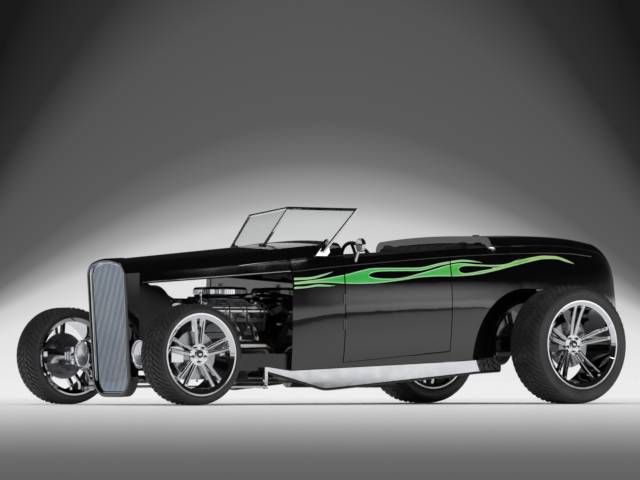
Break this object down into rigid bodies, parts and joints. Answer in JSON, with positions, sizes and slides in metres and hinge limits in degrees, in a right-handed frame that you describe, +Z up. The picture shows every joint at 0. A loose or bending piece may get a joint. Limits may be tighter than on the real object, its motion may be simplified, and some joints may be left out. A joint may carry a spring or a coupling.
{
  "type": "street rod roadster",
  "caption": "Low open street rod roadster with bare wheels, V windshield, tall grille, open engine, working doors, deck lid, hood and steering.",
  "frame": {"origin": "ground point below the middle of the overall length and width", "axes": "+X forward, +Y to the driver's left, +Z up"},
  "size_m": [3.6909, 1.812, 1.1916],
  "materials": {
    "black_paint": "high gloss",
    "chrome": "polished",
    "black_steel": "satin",
    "aluminium": "cast",
    "engine_paint": "semi-gloss",
    "bare_steel": "machined",
    "tyre": "matte",
    "leather": "satin",
    "clear_glass": "clear",
    "red_lens": "clear red"
  },
  "bodies": {
    "chassis_and_body": {"cowl": "black_paint", "quarter_left": "black_paint", "quarter_right": "black_paint", "rockers": "black_paint", "tulip_panel": "black_paint", "tail_panel": "black_paint", "radiator_shell": "black_paint", "firewall": "black_paint", "dashboard": "black_paint", "grille": "chrome", "rail_covers": "chrome", "windshield_frame": "chrome", "headlamps": "chrome", "suspension_rods": "chrome", "front_axle": "chrome", "valve_covers": "chrome", "air_cleaner": "chrome", "frame": "black_steel", "floor": "black_steel", "radiator": "black_steel", "fuel_tank": "black_steel", "springs": "black_steel", "rear_axle": "black_steel", "steering_column": "black_steel", "intake": "aluminium", "accessory_drive": "aluminium", "driveline": "aluminium", "engine_block": "engine_paint", "headers": "bare_steel", "exhaust": "bare_steel", "seat_cushion": "leather", "seat_back": "leather", "windshield_glass": "clear_glass", "headlamp_lenses": "clear_glass", "tail_lamps": "red_lens"},
    "door_left": {"door_left": "black_paint", "door_mirror": "chrome"},
    "door_right": {"door_right": "black_paint"},
    "deck_lid": {"deck_lid": "black_paint"},
    "hood": {"hood_top": "black_paint"},
    "steering_wheel": {"steering_wheel": "leather"},
    "knuckle_left": {"knuckle_left": "bare_steel"},
    "knuckle_right": {"knuckle_right": "bare_steel"},
    "track_rod": {"tie_rod": "bare_steel"},
    "wheel_front_left": {"wheel_front_left": "chrome", "tyre_front_left": "tyre", "brake_disc_front_left": "bare_steel"},
    "wheel_front_right": {"wheel_front_right": "chrome", "tyre_front_right": "tyre", "brake_disc_front_right": "bare_steel"},
    "wheel_rear_left": {"wheel_rear_left": "chrome", "tyre_rear_left": "tyre", "brake_disc_rear_left": "bare_steel"},
    "wheel_rear_right": {"wheel_rear_right": "chrome", "tyre_rear_right": "tyre", "brake_disc_rear_right": "bare_steel"}
  },
  "joints": [
    {"name": "steer_left", "type": "hinge", "parent": "chassis_and_body", "child": "knuckle_left", "pos_m": [1.5545, 0.6, 0.291], "axis": [0, 0, 1], "range_deg": [-30, 30]},
    {"name": "spin_front_left", "type": "hinge", "parent": "knuckle_left", "child": "wheel_front_left", "pos_m": [1.5545, 0.696, 0.291], "axis": [0, 1, 0], "continuous": true},
    {"name": "spin_rear_left", "type": "hinge", "parent": "chassis_and_body", "child": "wheel_rear_left", "pos_m": [-1.1375, 0.762, 0.36], "axis": [0, 1, 0], "continuous": true},
    {"name": "door_left_hinge", "type": "hinge", "parent": "chassis_and_body", "child": "door_left", "pos_m": [0.3745, 0.558, 0.5487], "axis": [0, 0, -1], "range_deg": [0, 60]},
    {"name": "steer_right", "type": "hinge", "parent": "chassis_and_body", "child": "knuckle_right", "pos_m": [1.5545, -0.6, 0.291], "axis": [0, 0, 1], "range_deg": [-30, 30]},
    {"name": "spin_front_right", "type": "hinge", "parent": "knuckle_right", "child": "wheel_front_right", "pos_m": [1.5545, -0.696, 0.291], "axis": [0, 1, 0], "continuous": true},
    {"name": "spin_rear_right", "type": "hinge", "parent": "chassis_and_body", "child": "wheel_rear_right", "pos_m": [-1.1375, -0.762, 0.36], "axis": [0, 1, 0], "continuous": true},
    {"name": "door_right_hinge", "type": "hinge", "parent": "chassis_and_body", "child": "door_right", "pos_m": [0.3745, -0.558, 0.5487], "axis": [0, 0, 1], "range_deg": [0, 60]},
    {"name": "track_rod_pivot", "type": "hinge", "parent": "knuckle_left", "child": "track_rod", "pos_m": [1.4545, 0.6, 0.1635], "axis": [0, 0, 1], "range_deg": [-30, 30]},
    {"name": "steering_wheel_turn", "type": "hinge", "parent": "chassis_and_body", "child": "steering_wheel", "pos_m": [0.1245, 0.33, 0.805], "axis": [-0.922, 0, 0.3872], "range_deg": [-300, 300]},
    {"name": "deck_lid_hinge", "type": "hinge", "parent": "chassis_and_body", "child": "deck_lid", "pos_m": [-0.8955, 0, 1.036], "axis": [0, 1, 0], "range_deg": [0, 60]},
    {"name": "hood_hinge", "type": "hinge", "parent": "chassis_and_body", "child": "hood", "pos_m": [0.6975, 0, 0.95], "axis": [0, -1, 0], "range_deg": [0, 40]}
  ],
  "couplings": [
    {"joint": "steer_right", "follows": "steer_left", "ratio": 1},
    {"joint": "track_rod_pivot", "follows": "steer_left", "ratio": -1},
    {"joint": "steering_wheel_turn", "follows": "steer_left", "ratio": 10}
  ]
}
